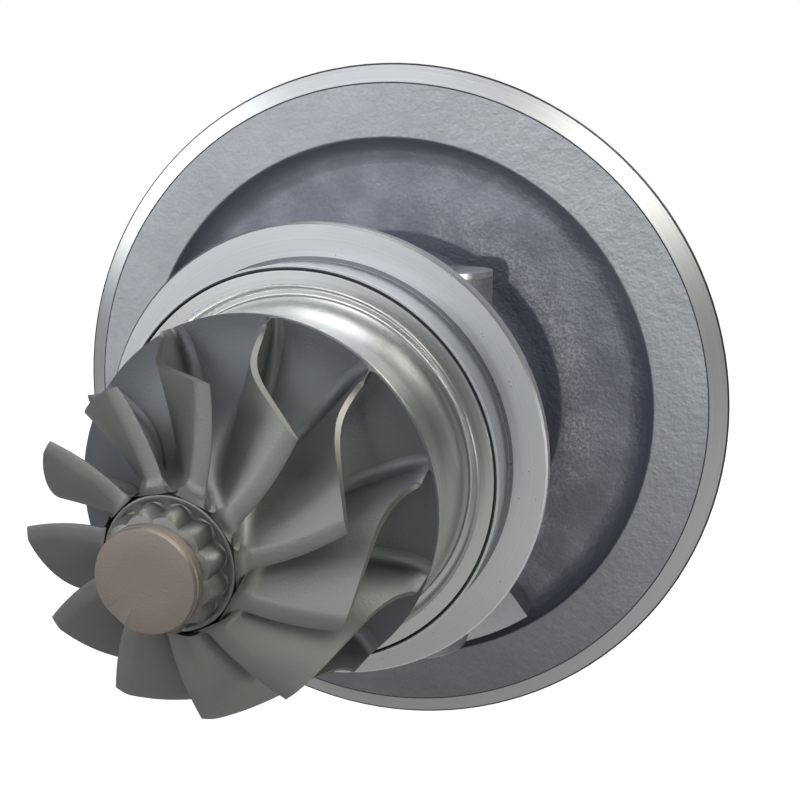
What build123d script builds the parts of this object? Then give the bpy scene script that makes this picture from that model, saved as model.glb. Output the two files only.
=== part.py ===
from build123d import *
from math import cos, pi, radians, sin, sqrt, tan
import os

# Turbocharger cartridge: an iron bearing housing with a floating shaft, an
# eleven-blade turbine wheel at the -Y end and a compressor wheel at the +Y end.
# Millimetres. The shaft lies on the Y axis, +Z goes up through the oil inlet,
# and Y = 0 is the face where the compressor cover joins the big disc.

# Big disc and compressor joint
disc_r = 95.0
disc_rim = 4.0
clamp_cone_r = 90.0
clamp_cone_rise = 2.0
spigot_r = 88.0
spigot_len = 8.0
annulus_in_r = 75.5
annulus_dip = 1.2
channel_foot_r = 74.5
channel_lip_round = 0.6
channel_foot_round = 6.4
web_wall = 5.5
web_fillet = 10.0
neck_fillet = 4.0
edge_break = 0.5
cut_past = 1.0

# Neck, turbine flange and pilot
neck_r = 36.0
turbine_face_from_joint = 60.8
turbine_flange_r = 54.7
turbine_flange_rim = 4.0
turbine_cone_rise = 3.2
turbine_pilot_r = 46.0
turbine_pilot_len = 12.2
relief_width = 1.0
relief_depth = 0.5
pilot_lip = 0.8
pocket_wall = 3.4
pocket_in_r = 25.0
pocket_depth = 11.0
pocket_out_round = 2.0
pocket_in_round = 3.0
seal_nose_r = 17.0
seal_nose_len = 28.0

# Oil inlet pad, drain pad and the land at the foot of the disc
inlet_z = 42.0
inlet_width = 70.6
inlet_near = 14.0
inlet_far = 43.0
inlet_bore_r = 5.0
inlet_bore_end_z = 22.0
inlet_bolt_span = 46.0
pad_corner_r = 14.0
pad_bolt_r = 3.4
pad_bolt_depth = 13.0
drain_z = 58.0
drain_width = 60.0
drain_near = 12.0
drain_far = 42.0
drain_bore_r = 10.5
drain_bolt_span = 42.0
land_end_angle = 37.0
land_rise = 10.0
land_r = 72.6
land_top_z = 50.0
land_corner_r = 5.0

# Oil spaces inside the housing
chamber_r = 18.5
chamber_drop = 9.0
chamber_len = 22.0
slinger_r = 16.0
slinger_len = 5.5
slinger_from_nose = 12.0
slinger_wall = 1.5
slinger_cut = 1.5
chamber_wall = 2.0
feed_r = 1.6
return_r = 5.0
gallery_width = 18.0
gallery_height = 12.0
gallery_top_z = 17.0

# Shaft
journal_r = 7.5
waist_r = 6.9
stub_r = 5.0
seal_hub_r = 11.3
seal_gap = 0.4
weld_gap = 1.5
hub_end_inset = 1.0
hub_flare_len = 2.0
waist_inset = 1.0
shaft_past_nut = 3.0

# Floating bushes
bush_r = 11.5
bush_len = 13.0
bush_inner_gap = 0.035
bush_outer_gap = 0.045
bush_end_float = 0.6
bush_groove_width = 3.0
bush_groove_depth = 0.5
bush_hole_count = 6
bush_hole_r = 1.3
snap_ring_t = 1.2
snap_ring_width = 2.4
snap_ring_bite = 1.1
snap_ring_opening = 40.0

# Thrust parts and compressor end seal
thrust_disc_r = 13.0
thrust_disc_t = 2.5
thrust_bearing_t = 4.2
thrust_bearing_r = 32.0
thrust_end_float = 0.1
thrust_hub_r = 7.4
thrust_hub_gap = 0.3
thrust_screw_circle_r = 26.0
thrust_screw_count = 3
thrust_screw_r = 2.0
thrust_screw_reach = 8.0
thrust_screw_hole = 9.0
thrust_screw_play = 0.15
thrust_head_t = 2.2
thrust_head_play = 0.2
thrust_recess_depth = 1.3
thrust_groove_width = 1.2
thrust_groove_depth = 0.8
thrust_room = 1.5
seal_bore_r = 33.0
flinger_disc_t = 1.8
sleeve_r = 9.5
baffle_t = 0.8
baffle_hole_r = 14.0
baffle_flat_z = 24.0
seal_plate_front = 5.0
seal_plate_back = -0.6
seal_plate_rim_front = 3.6
seal_plate_step_r = 26.4
seal_plate_hollow_r = 27.0
seal_plate_hollow_depth = 1.2
seal_plate_hollow_gap = 2.0
seal_plate_step_slope = 1.5
seal_ring_t = 1.4
seal_ring_width = 2.0
seal_ring_from_nose = 5.0
seal_ring_floor_gap = 0.3
seal_ring_side_gap = 0.05
seal_ring_wall_gap = 0.03
slip = 0.05
bore_slip = 0.02
o_ring_section = 2.0
cover_o_ring_section = 3.0
cover_o_ring_near = 3.0
retaining_ring_width = 3.0
retaining_ring_opening = 9.0
retaining_lug_x = 6.4
retaining_lug_drop = 4.2
retaining_lug_r = 2.2
retaining_eye_r = 0.9

# Heat shield
shield_t = 1.0
shield_rim_gap = 0.2
shield_rim_width = 4.0
shield_seat_gap = 0.1
shield_groove_drop = 3.2
shield_groove_width = 2.0
hat_taper = 2.4
hat_top_from_wheel = 1.9
hat_round = 3.0
shield_hole_r = 15.0

# Turbine wheel
turbine_blades = 11
turbine_phase = 10.57
turbine_back_from_face = 34.7
turbine_r = 38.4
turbine_lead_r = 38.2
turbine_lead_width = 9.0
turbine_exit_r = 31.0
turbine_blade_len = 31.3
turbine_rim_t = 1.6
turbine_hub_r = 12.3
turbine_root_sink = 4.0
turbine_foot_sink = 0.5
turbine_rail_start = 3.0
blade_over_reach = 2.0
turbine_hub_len = 36.3
turbine_wrap_even = 7.0
turbine_wrap_late = 25.6
turbine_root_t = 2.7
turbine_tip_t = 0.75
turbine_exit_hub_len = 34.0
turbine_back_hub_r = 13.0
drive_points = 12
drive_out_r = 11.0
drive_in_r = 9.7
drive_len = 5.0
cap_r = 9.2
cap_len = 3.1
cap_step = 0.25

# Compressor wheel
compressor_blades = 7
compressor_r = 42.0
wheel_pocket_gap = 1.2
compressor_back_gap = 0.8
compressor_rim_t = 2.2
compressor_exit_width = 5.2
compressor_inlet_r = 30.0
compressor_len = 34.0
compressor_hub_r = 10.0
compressor_nose_len = 4.0
compressor_lead_step = 2.0
compressor_wrap_even = 30.0
compressor_wrap_early = 22.0
compressor_root_t = 2.0
compressor_tip_t = 0.7
compressor_blade_inset = 0.05
splitter_start = 0.36
nut_flange_r = 9.5
nut_flange_t = 2.0
nut_across_flats = 15.0
nut_len = 9.0

# Places along the shaft, worked out from the sizes above
annulus_y = -(disc_rim + clamp_cone_rise)
channel_floor_y = spigot_len - web_wall
turbine_face_y = -turbine_face_from_joint
pilot_front_y = turbine_face_y - turbine_pilot_len
pocket_floor_y = pilot_front_y + pocket_depth
pocket_out_r = turbine_pilot_r - pocket_wall
nose_y = pocket_floor_y - seal_nose_len
wheel_back_y = turbine_face_y - turbine_back_from_face
turbine_rim_y = wheel_back_y - turbine_rim_t
turbine_hub_end_y = wheel_back_y - turbine_hub_len
shield_rim_y = pilot_front_y + shield_seat_gap
shield_rim_r = turbine_pilot_r - pilot_lip - shield_rim_gap
shield_groove_r = shield_rim_r - shield_rim_width
hat_base_r = shield_groove_r - shield_groove_width
hat_top_r = hat_base_r - hat_taper
hat_front_y = wheel_back_y + hat_top_from_wheel
weld_y = nose_y - weld_gap
slinger_y = nose_y + slinger_from_nose
seal_bore_turbine_r = seal_hub_r + seal_gap
bush_bore_r = bush_r + bush_outer_gap
groove_r = bush_bore_r + snap_ring_bite
bush_space = bush_len + bush_end_float
turbine_bush_y = slinger_y + slinger_len + slinger_wall + snap_ring_t + bush_space / 2
chamber_y = turbine_bush_y + bush_space / 2 + snap_ring_t + chamber_wall
compressor_bush_y = chamber_y + chamber_len + chamber_wall + snap_ring_t + bush_space / 2
wheel_pocket_floor_y = seal_plate_front
compressor_back_y = wheel_pocket_floor_y + compressor_back_gap
sleeve_front_y = compressor_back_y
flinger_front_y = seal_plate_back - 0.9
flinger_back_y = flinger_front_y - flinger_disc_t
thrust_bearing_front_y = flinger_back_y - thrust_end_float
thrust_bearing_back_y = thrust_bearing_front_y - thrust_bearing_t
collar_front_y = thrust_bearing_back_y - thrust_end_float
collar_back_y = collar_front_y - thrust_disc_t
wheel_pocket_r = compressor_r + wheel_pocket_gap
compressor_rim_y = compressor_back_y + compressor_rim_t
compressor_inlet_y = compressor_back_y + compressor_len
nose_tip_y = compressor_inlet_y + compressor_nose_len
nut_front_y = nose_tip_y + nut_flange_t + nut_len


def turned(*corners):
    """A solid turned about the shaft. A corner is (y, radius), with a round or a 0 and a chamfer after it."""
    points = []
    rounds = []
    for k, (y, r, *edge) in enumerate(corners):
        edge += [0] * (2 - len(edge))
        if edge[1]:
            for other in (corners[k - 1], corners[(k + 1) % len(corners)]):
                way = Vector(other[0] - y, other[1] - r).normalized()
                points.append(Vector(y, r) + way * edge[1])
                rounds.append(0)
        else:
            points.append(Vector(y, r))
            rounds.append(edge[0])
    outline = FilletPolyline(*points, radius=rounds, close=True)
    return revolve(Plane.YZ * make_face(outline), axis=Axis.Y)


def tube(y_a, y_b, r_out, r_in=0.0, soft=0, cut=0):
    """A plain ring or rod on the shaft axis, its outer edges left sharp, rounded or chamfered."""
    return turned((y_a, r_in), (y_a, r_out, soft, cut), (y_b, r_out, soft, cut), (y_b, r_in))


def upright(radius, z_low, z_high, x=0.0, y=0.0):
    """A round rod along Z."""
    return Pos(x, y, (z_low + z_high) / 2) * Cylinder(radius, z_high - z_low)


def rod_between(start, end, radius):
    """A round rod from one point to another."""
    way = Vector(*end) - Vector(*start)
    return extrude(Plane(origin=start, z_dir=way) * Circle(radius), way.length)


def save(shape, node):
    export_step(shape, f"parts/{node}.step")


# Bearing housing

def housing_outside():
    back_y = shield_rim_y + shield_t
    cone_y = turbine_face_y + turbine_flange_rim
    return turned(
        (spigot_len, 0),
        (spigot_len, spigot_r, 0, edge_break),
        (0, spigot_r),
        (0, disc_r, 0, edge_break),
        (-disc_rim, disc_r),
        (annulus_y, clamp_cone_r),
        (annulus_y + annulus_dip, annulus_in_r, channel_lip_round),
        (channel_floor_y, channel_foot_r, channel_foot_round),
        (channel_floor_y, neck_r, web_fillet),
        (cone_y + turbine_cone_rise, neck_r, neck_fillet),
        (cone_y + turbine_cone_rise, turbine_pilot_r),
        (cone_y, turbine_flange_r),
        (turbine_face_y, turbine_flange_r, 0, edge_break),
        (turbine_face_y, turbine_pilot_r + relief_width),
        (turbine_face_y + relief_depth, turbine_pilot_r + relief_width),
        (turbine_face_y + relief_depth, turbine_pilot_r),
        (pilot_front_y, turbine_pilot_r),
        (pilot_front_y, turbine_pilot_r - pilot_lip),
        (back_y, turbine_pilot_r - pilot_lip),
        (back_y, pocket_out_r),
        (pocket_floor_y, pocket_out_r, pocket_out_round),
        (pocket_floor_y, pocket_in_r, pocket_in_round),
        (nose_y, seal_nose_r, 0, edge_break * 2),
        (nose_y, 0),
    )


def pad_block(width, near, far, z_low, z_high):
    """A cast pad: a block along Z with round vertical corners."""
    outline = RectangleRounded(width, far - near, pad_corner_r)
    return Pos(0, -(near + far) / 2, z_low) * extrude(outline, z_high - z_low)


def drain_land():
    """The broad land at the foot of the disc, below the drain, its ends cut along the disc's radii."""
    spread = tan(radians(land_end_angle))
    corners = [
        (-spread * land_r, -land_r),
        (-spread * land_top_z, -land_top_z),
        (spread * land_top_z, -land_top_z),
        (spread * land_r, -land_r),
    ]
    outline = make_face(FilletPolyline(*corners, radius=[0, land_corner_r, land_corner_r, 0], close=True))
    outline = outline & Circle(land_r)
    return extrude(Plane.XZ.offset(-channel_floor_y - cut_past) * outline, land_rise + cut_past)


def housing_oil_spaces():
    inlet_y = -(inlet_near + inlet_far) / 2
    drain_y = -(drain_near + drain_far) / 2
    chamber = Pos(0, 0, -chamber_drop) * tube(chamber_y, chamber_y + chamber_len, chamber_r)
    gallery_y = chamber_y + chamber_len / 2
    gallery = Pos(0, (thrust_bearing_back_y + gallery_y) / 2, -gallery_top_z - gallery_height / 2) * Box(
        gallery_width, thrust_bearing_back_y - gallery_y, gallery_height
    )
    back_return = rod_between(
        (0, slinger_y + slinger_len / 2, -slinger_r + return_r),
        (0, gallery_y, -chamber_drop - chamber_r + return_r),
        return_r,
    )
    feed_top = (0, inlet_y, inlet_bore_end_z + feed_r)
    cuts = chamber + gallery + back_return
    cuts += tube(slinger_y, slinger_y + slinger_len, slinger_r, cut=slinger_cut)
    cuts += upright(inlet_bore_r, inlet_bore_end_z, inlet_z + cut_past, y=inlet_y)
    cuts += upright(drain_bore_r, -drain_z - cut_past, -gallery_top_z - gallery_height, y=drain_y)
    for bush_y in (turbine_bush_y, compressor_bush_y):
        cuts += rod_between(feed_top, (0, bush_y, bush_r), feed_r)
    for x in (-inlet_bolt_span / 2, inlet_bolt_span / 2):
        cuts += upright(pad_bolt_r, inlet_z - pad_bolt_depth, inlet_z + cut_past, x=x, y=inlet_y)
    for x in (-drain_bolt_span / 2, drain_bolt_span / 2):
        cuts += upright(pad_bolt_r, -drain_z - cut_past, pad_bolt_depth - drain_z, x=x, y=drain_y)
    return cuts


def housing_bores():
    cuts = tube(nose_y - cut_past, slinger_y + cut_past, seal_bore_turbine_r)
    cuts += tube(slinger_y, collar_back_y, bush_bore_r)
    for bush_y in (turbine_bush_y, compressor_bush_y):
        for side in (-1, 1):
            ring_y = bush_y + side * (bush_space + snap_ring_t) / 2
            half = snap_ring_t / 2 + slip
            cuts += tube(ring_y - half, ring_y + half, groove_r)
    cuts += tube(collar_back_y - thrust_room, thrust_bearing_back_y, thrust_disc_r + thrust_room)
    cuts += tube(thrust_bearing_back_y, wheel_pocket_floor_y, seal_bore_r)
    ring_end = seal_plate_rim_front + snap_ring_t + 2 * slip
    cuts += tube(seal_plate_rim_front, ring_end, seal_bore_r + snap_ring_bite)
    cuts += tube(wheel_pocket_floor_y, spigot_len + cut_past, wheel_pocket_r)
    groove = o_ring_groove(cover_o_ring_section)
    cuts += tube(cover_o_ring_near, cover_o_ring_near + groove[0], spigot_r + cut_past, spigot_r - groove[1])
    for angle in screw_angles():
        x = thrust_screw_circle_r * sin(radians(angle))
        z = thrust_screw_circle_r * cos(radians(angle))
        hole = tube(thrust_bearing_back_y - thrust_screw_hole, thrust_bearing_back_y, thrust_screw_r + slip)
        cuts += Pos(x, 0, z) * hole
    return cuts


def bearing_housing():
    body = housing_outside()
    body += pad_block(inlet_width, inlet_near, inlet_far, neck_r * 0.3, inlet_z)
    body += pad_block(drain_width, drain_near, drain_far, -drain_z, -neck_r * 0.5)
    body += drain_land()
    return body - housing_oil_spaces() - housing_bores()


# Rings and seals

def o_ring_groove(section):
    """Width and depth of the groove for an O-ring of this section."""
    return section * 1.25, section * 0.8


def o_ring(section, near_y, wall_r, flush):
    """An O-ring squeezed in its outside groove, flush with the wall outside it."""
    width, depth = o_ring_groove(section)
    r_in = wall_r - depth + slip
    return tube(near_y + 0.1, near_y + width - 0.1, wall_r - flush, r_in, soft=section * 0.3)


def split_ring(middle_y, thickness, r_out, r_in, opening, turn=0.0):
    """A spring ring with a gap in it; the gap faces down, then is turned."""
    ring = tube(middle_y - thickness / 2, middle_y + thickness / 2, r_out, r_in)
    gap = Pos(0, middle_y, -r_out) * Box(opening, thickness * 2, r_out * 1.6)
    return Rot(0, turn, 0) * (ring - gap)


def bush_rings(bush_y, turn):
    """The two spring rings that hold one floating bush endways."""
    opening = groove_r * 2 * sin(radians(snap_ring_opening / 2))
    shape = Compound(children=[
        split_ring(
            bush_y + side * (bush_space + snap_ring_t) / 2,
            snap_ring_t,
            groove_r - slip,
            groove_r - slip - snap_ring_width,
            opening,
            turn,
        )
        for side in (-1, 1)
    ])
    return shape


def floating_bush(bush_y):
    """A bronze bush that floats between shaft and housing, with oil holes."""
    half = bush_len / 2
    bush = tube(bush_y - half, bush_y + half, bush_r, journal_r + bush_inner_gap)
    groove_half = bush_groove_width / 2
    past_r = bush_r + cut_past
    groove = tube(bush_y - groove_half, bush_y + groove_half, past_r, bush_r - bush_groove_depth)
    hole = upright(bush_hole_r, 0, past_r, y=bush_y)
    holes = [Rot(0, 360 / bush_hole_count * k, 0) * hole for k in range(bush_hole_count)]
    bush = bush - groove - holes
    ends = [e for e in bush.edges().filter_by(GeomType.CIRCLE) if abs(e.radius - bush_r) < 0.01]
    ends = [e for e in ends if abs(abs(e.arc_center.Y - bush_y) - half) < 0.01]
    return chamfer(ends, 0.6)


def piston_ring(middle_y, bore_r):
    """A split sealing ring that springs out against its bore."""
    r_out = bore_r - seal_ring_wall_gap
    return split_ring(middle_y, seal_ring_t, r_out, r_out - seal_ring_width, 0.8, turn=180)


turbine_ring_y = nose_y + seal_ring_from_nose
compressor_ring_y = (seal_plate_front + seal_plate_back) / 2 + 0.4


# Thrust parts and the compressor end

def screw_angles():
    return [360 / thrust_screw_count * k for k in range(thrust_screw_count)]


def thrust_bearing():
    """A bronze plate with a bore for the collar, pads and an oil slot below."""
    bore_r = thrust_hub_r + thrust_hub_gap
    plate = tube(thrust_bearing_back_y, thrust_bearing_front_y, thrust_bearing_r, bore_r)
    middle_y = (thrust_bearing_back_y + thrust_bearing_front_y) / 2
    slot = Pos(0, middle_y, -thrust_bearing_r) * Box(gallery_width, thrust_bearing_t * 2, thrust_bearing_r)
    plate -= slot
    for k in range(6):
        groove = Pos(0, thrust_bearing_back_y, (bore_r + thrust_disc_r) / 2) * Box(
            thrust_groove_width, thrust_groove_depth, thrust_disc_r - bore_r
        )
        plate -= Rot(0, 60 * k + 30, 0) * groove
    for angle in screw_angles():
        past_y = thrust_bearing_front_y + cut_past
        hole = tube(thrust_bearing_back_y - cut_past, past_y, thrust_screw_r + thrust_screw_play)
        sink = tube(thrust_bearing_front_y - thrust_head_t, past_y, thrust_screw_r * 2 + thrust_head_play)
        seat = Rot(0, angle, 0) * (Pos(0, 0, thrust_screw_circle_r) * (hole + sink))
        plate -= seat
    return plate


def thrust_screws():
    """The three cap screws that hold the thrust bearing, heads flush in it."""
    head_back_y = thrust_bearing_front_y - thrust_head_t
    screws = []
    for angle in screw_angles():
        shank = tube(thrust_bearing_back_y - thrust_screw_reach, head_back_y, thrust_screw_r)
        head = tube(head_back_y, thrust_bearing_front_y, thrust_screw_r * 2)
        recess = Plane.XZ.offset(-thrust_bearing_front_y) * RegularPolygon(thrust_screw_r, 6)
        screw = shank + head - extrude(recess, thrust_recess_depth)
        screws.append(Rot(0, angle, 0) * (Pos(0, 0, thrust_screw_circle_r) * screw))
    return Compound(children=screws)


def thrust_collar():
    """The steel spool that carries the shaft's end load."""
    bore_r = stub_r + bore_slip
    return turned(
        (collar_back_y, bore_r),
        (collar_back_y, thrust_disc_r, 0, 0.3),
        (collar_front_y, thrust_disc_r, 0, 0.3),
        (collar_front_y, thrust_hub_r),
        (flinger_back_y, thrust_hub_r, 0, 0.2),
        (flinger_back_y, bore_r),
    )


def seal_sleeve():
    """The flinger sleeve: an oil-throwing disc and the piston ring groove."""
    bore_r = stub_r + bore_slip
    half = seal_ring_t / 2 + seal_ring_side_gap
    groove_floor = sleeve_r + seal_gap - seal_ring_wall_gap - seal_ring_width - seal_ring_floor_gap
    sleeve = turned(
        (flinger_back_y, bore_r),
        (flinger_back_y, thrust_disc_r),
        (flinger_front_y, thrust_disc_r),
        (flinger_front_y + 0.5, sleeve_r),
        (sleeve_front_y, sleeve_r),
        (sleeve_front_y, bore_r),
    )
    past_r = sleeve_r + cut_past
    return sleeve - tube(compressor_ring_y - half, compressor_ring_y + half, past_r, groove_floor)


def oil_baffle():
    """The sheet guard that keeps thrown oil off the seal, with a lip below."""
    back_y = thrust_bearing_front_y + slip
    plate = tube(back_y, back_y + baffle_t, thrust_bearing_r, baffle_hole_r)
    middle_z = -baffle_flat_z - thrust_bearing_r / 2
    bottom = Pos(0, back_y, middle_z) * Box(thrust_bearing_r * 2, baffle_t * 4, thrust_bearing_r)
    return plate - bottom


def seal_plate():
    """The plate that closes the oil space behind the compressor wheel."""
    width, depth = o_ring_groove(o_ring_section)
    r_out = seal_bore_r - slip
    ring_near = (seal_plate_rim_front + seal_plate_back - width) / 2
    plate = turned(
        (seal_plate_back, sleeve_r + seal_gap),
        (seal_plate_back, r_out, 0, 0.2),
        (seal_plate_rim_front, r_out, 0, 0.2),
        (seal_plate_rim_front, seal_plate_step_r),
        (seal_plate_front, seal_plate_step_r - seal_plate_step_slope),
        (seal_plate_front, sleeve_r + seal_gap, 0, 0.3),
    )
    plate -= tube(ring_near, ring_near + width, seal_bore_r + cut_past, seal_bore_r - depth)
    hollow_end_y = seal_plate_back + seal_plate_hollow_depth
    hollow_in_r = thrust_disc_r + seal_plate_hollow_gap
    plate -= tube(seal_plate_back - cut_past, hollow_end_y, seal_plate_hollow_r, hollow_in_r, cut=0.4)
    return plate


def seal_plate_o_ring():
    width = o_ring_groove(o_ring_section)[0]
    ring_near = (seal_plate_rim_front + seal_plate_back - width) / 2
    return o_ring(o_ring_section, ring_near, seal_bore_r, 0.03)


def seal_plate_ring():
    """The spring ring that keeps the seal plate in its bore."""
    middle_y = seal_plate_rim_front + slip + snap_ring_t / 2
    r_out = seal_bore_r + snap_ring_bite - slip
    half = snap_ring_t / 2
    ring = split_ring(middle_y, snap_ring_t, r_out, r_out - retaining_ring_width, retaining_ring_opening)
    for side in (-1, 1):
        place = Pos(side * retaining_lug_x, 0, retaining_lug_drop - r_out)
        ring += place * tube(middle_y - half, middle_y + half, retaining_lug_r)
        ring -= place * tube(middle_y - snap_ring_t, middle_y + snap_ring_t, retaining_eye_r)
    return ring


# Heat shield

def heat_shield():
    """A pressed steel hat between the hot wheel and the bearing housing."""
    t = shield_t
    rim_r = shield_rim_r
    rim_y = shield_rim_y
    groove_y = rim_y + shield_groove_drop
    front = [
        (rim_y, rim_r, 0, 0.2),
        (rim_y, shield_groove_r, 1.0),
        (groove_y - t, shield_groove_r - 0.2, 0.5),
        (groove_y - t, hat_base_r + 0.2, 0.5),
        (hat_front_y, hat_top_r, hat_round),
        (hat_front_y, shield_hole_r),
    ]
    back = [
        (hat_front_y + t, shield_hole_r),
        (hat_front_y + t, hat_top_r - t, hat_round - t),
        (groove_y, hat_base_r - t, 1.2),
        (groove_y, shield_groove_r + t - 0.2, 1.2),
        (rim_y + t, shield_groove_r + t),
        (rim_y + t, rim_r),
    ]
    return turned(*front, *back)


# Blades

def quarter_oval(s, nose, rim):
    """A quarter ellipse from a wheel's nose, s = 0, where it runs along the shaft, to its rim, s = 1."""
    a = pi / 2 * s
    y = nose[0] + (rim[0] - nose[0]) * sin(a)
    r = rim[1] - (rim[1] - nose[1]) * cos(a)
    return y, r


def lofted_hub(line):
    """The flared body of a wheel, through circles from its nose to its rim."""
    circles = []
    for k in range(9):
        y, r = line(k / 8)
        circles.append(Plane.XZ.offset(-y) * Circle(r))
    return loft(circles)


def rim_point(y, radius, angle_deg, offset):
    """A point at a radius and clockwise angle from up, moved round by offset."""
    a = radians(angle_deg)
    return Vector(radius * sin(a) + offset * cos(a), y, radius * cos(a) - offset * sin(a))


def blade_between(root, tip):
    """A tapering blade ruled between two rails of (y, radius, angle, thickness)."""
    edges = {}
    for name, rail in (("root", root), ("tip", tip)):
        for side in (-1, 1):
            points = [rim_point(y, r, a, side * t / 2) for y, r, a, t in rail]
            edges[name, side] = Edge.make_spline(points)
    ruled = Face.make_surface_from_curves
    faces = [
        ruled(edges["root", -1], edges["tip", -1]),
        ruled(edges["root", 1], edges["tip", 1]),
        ruled(edges["root", -1], edges["root", 1]),
        ruled(edges["tip", -1], edges["tip", 1]),
    ]
    for end in (0, 1):
        back = Edge.make_line(edges["root", -1] @ end, edges["tip", -1] @ end)
        front = Edge.make_line(edges["root", 1] @ end, edges["tip", 1] @ end)
        faces.append(ruled(back, front))
    return Solid(Shell(faces))


def slanted(thickness, radius, turn_per_mm):
    """The thickness measured round the wheel of a wall that also runs along it."""
    return thickness * sqrt(1 + (radius * radians(turn_per_mm)) ** 2)


# Turbine wheel

def turbine_turn(y):
    """How far the turbine blade has turned at y, and how fast it turns there."""
    run = turbine_blade_len - turbine_lead_width
    s = (wheel_back_y - turbine_lead_width - y) / run
    late = max(s, 0)
    turn = turbine_wrap_even * s + turbine_wrap_late * late**3
    rate = (turbine_wrap_even + 3 * turbine_wrap_late * late**2) / run
    return turn, rate


def turbine_rail(radius, thickness):
    stations = 8
    y_from = wheel_back_y + turbine_rail_start
    y_to = turbine_hub_end_y - cut_past
    rail = []
    for k in range(stations):
        y = y_from + (y_to - y_from) * k / (stations - 1)
        turn, rate = turbine_turn(y)
        rail.append((y, radius, turbine_phase + turn, slanted(thickness, radius, rate)))
    return rail


def turbine_shroud(s):
    """The wheel's outer edge from the leading corner, s = 0, to the exit, s = 1."""
    bend = 1.6
    y = wheel_back_y - turbine_lead_width - (turbine_blade_len - turbine_lead_width) * s
    drop = (1 - (1 - s) ** bend) ** (1 / bend)
    return y, turbine_lead_r - (turbine_lead_r - turbine_exit_r) * drop


def turbine_hub_line(s):
    return quarter_oval(s, (turbine_hub_end_y, turbine_hub_r), (turbine_rim_y, turbine_r))


def turbine_blade_space():
    """The room that the blades fill: under the shroud line, from the back disc to the hub's end."""
    root_r = turbine_hub_r - turbine_root_sink
    exit_hub_y = wheel_back_y - turbine_exit_hub_len
    foot_y = turbine_rim_y + turbine_foot_sink
    shroud = [turbine_shroud(k / 8) for k in range(9)]
    with BuildPart() as room:
        with BuildSketch(Plane.YZ):
            with BuildLine():
                Spline(*shroud)
                Polyline(
                    shroud[-1],
                    (exit_hub_y, turbine_hub_r),
                    (exit_hub_y, root_r),
                    (foot_y, root_r),
                    (foot_y, turbine_lead_r),
                    shroud[0],
                )
            make_face()
        revolve(axis=Axis.Y)
    return room.part


def turbine_wheel():
    """The wheel's body: back disc, flared hub, twelve-point drive and cap."""
    wheel = lofted_hub(turbine_hub_line)
    wheel += turned(
        (turbine_rim_y, 0),
        (turbine_rim_y, turbine_r),
        (wheel_back_y, turbine_r),
        (wheel_back_y, turbine_back_hub_r),
        (weld_y, turbine_back_hub_r - 0.8),
        (weld_y, 0),
    )
    drive_y = turbine_hub_end_y - drive_len
    star = []
    for k in range(drive_points * 2):
        a = pi * k / drive_points
        r = drive_out_r if k % 2 else drive_in_r
        star.append((r * sin(a), r * cos(a)))
    drive = extrude(Plane.XZ.offset(-turbine_hub_end_y) * make_face(Polyline(*star, close=True)), drive_len)
    wheel += drive
    cap_y = drive_y - cap_len
    wheel += turned(
        (drive_y, 0),
        (drive_y, cap_r),
        (cap_y + cap_len * 0.6, cap_r),
        (cap_y + cap_len * 0.6, cap_r - cap_step),
        (cap_y, cap_r - cap_step),
        (cap_y, 0),
    )
    return wheel


def turbine_blade_ring():
    """The eleven blades, each cut to sit on the hub and the back disc."""
    blade = blade_between(
        turbine_rail(turbine_hub_r - turbine_root_sink - cut_past, turbine_root_t),
        turbine_rail(turbine_r + blade_over_reach, turbine_tip_t),
    )
    blade = blade & turbine_blade_space()
    blade -= lofted_hub(turbine_hub_line) + tube(turbine_rim_y, wheel_back_y, turbine_r)
    return Compound(children=[Rot(0, 360 / turbine_blades * k, 0) * blade for k in range(turbine_blades)])


# Compressor wheel

def bend_line(s, inlet_y, inlet_r, rim_y):
    """A quarter oval from the inlet, s = 0, to the rim, s = 1, and straight on past both ends."""
    y, r = quarter_oval(min(max(s, 0), 1), (inlet_y, inlet_r), (rim_y, compressor_r))
    return y + compressor_len * max(-s, 0), r + compressor_len * max(s - 1, 0)


def compressor_hub_line(s):
    return bend_line(s, compressor_inlet_y, compressor_hub_r, compressor_rim_y)


def compressor_shroud_line(s):
    inlet_y = compressor_inlet_y - compressor_lead_step
    return bend_line(s, inlet_y, compressor_inlet_r, compressor_rim_y + compressor_exit_width)


def compressor_turn(s):
    early = 1 - (1 - min(s, 1)) ** 3
    return compressor_wrap_even * s + compressor_wrap_early * early


def compressor_rail(line, spread, thickness):
    """A rail just off the hub or shroud line, pushed off it by spread."""
    stations = 9
    step = 0.01
    rail = []
    for k in range(stations):
        s = -0.08 + 1.16 * k / (stations - 1)
        y, r = line(s)
        back_y, back_r = line(s - step)
        next_y, next_r = line(s + step)
        run = sqrt((next_y - back_y) ** 2 + (next_r - back_r) ** 2)
        rate = (compressor_turn(s + step) - compressor_turn(s - step)) / run
        out_y = y + spread * (next_r - back_r) / run
        out_r = r - spread * (next_y - back_y) / run
        rail.append((out_y, out_r, compressor_turn(s), slanted(thickness, r, rate)))
    return rail


def compressor_blade_space(start_y):
    """The room that the blades fill, from a plane at start_y to the rim."""
    end_r = compressor_r - compressor_blade_inset
    shroud = [compressor_shroud_line(k / 8) for k in range(8)]
    shroud.append((compressor_shroud_line(1)[0], end_r))
    foot_y = compressor_rim_y - compressor_rim_t / 4
    foot_r = stub_r + 2.0
    with BuildPart() as room:
        with BuildSketch(Plane.YZ):
            with BuildLine():
                Spline(*shroud)
                Polyline(
                    shroud[-1],
                    (foot_y, end_r),
                    (foot_y, foot_r),
                    (compressor_inlet_y - compressor_lead_step, foot_r),
                    shroud[0],
                )
            make_face()
        revolve(axis=Axis.Y)
    return room.part - tube(start_y, nose_tip_y + cut_past, compressor_r + cut_past)


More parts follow.
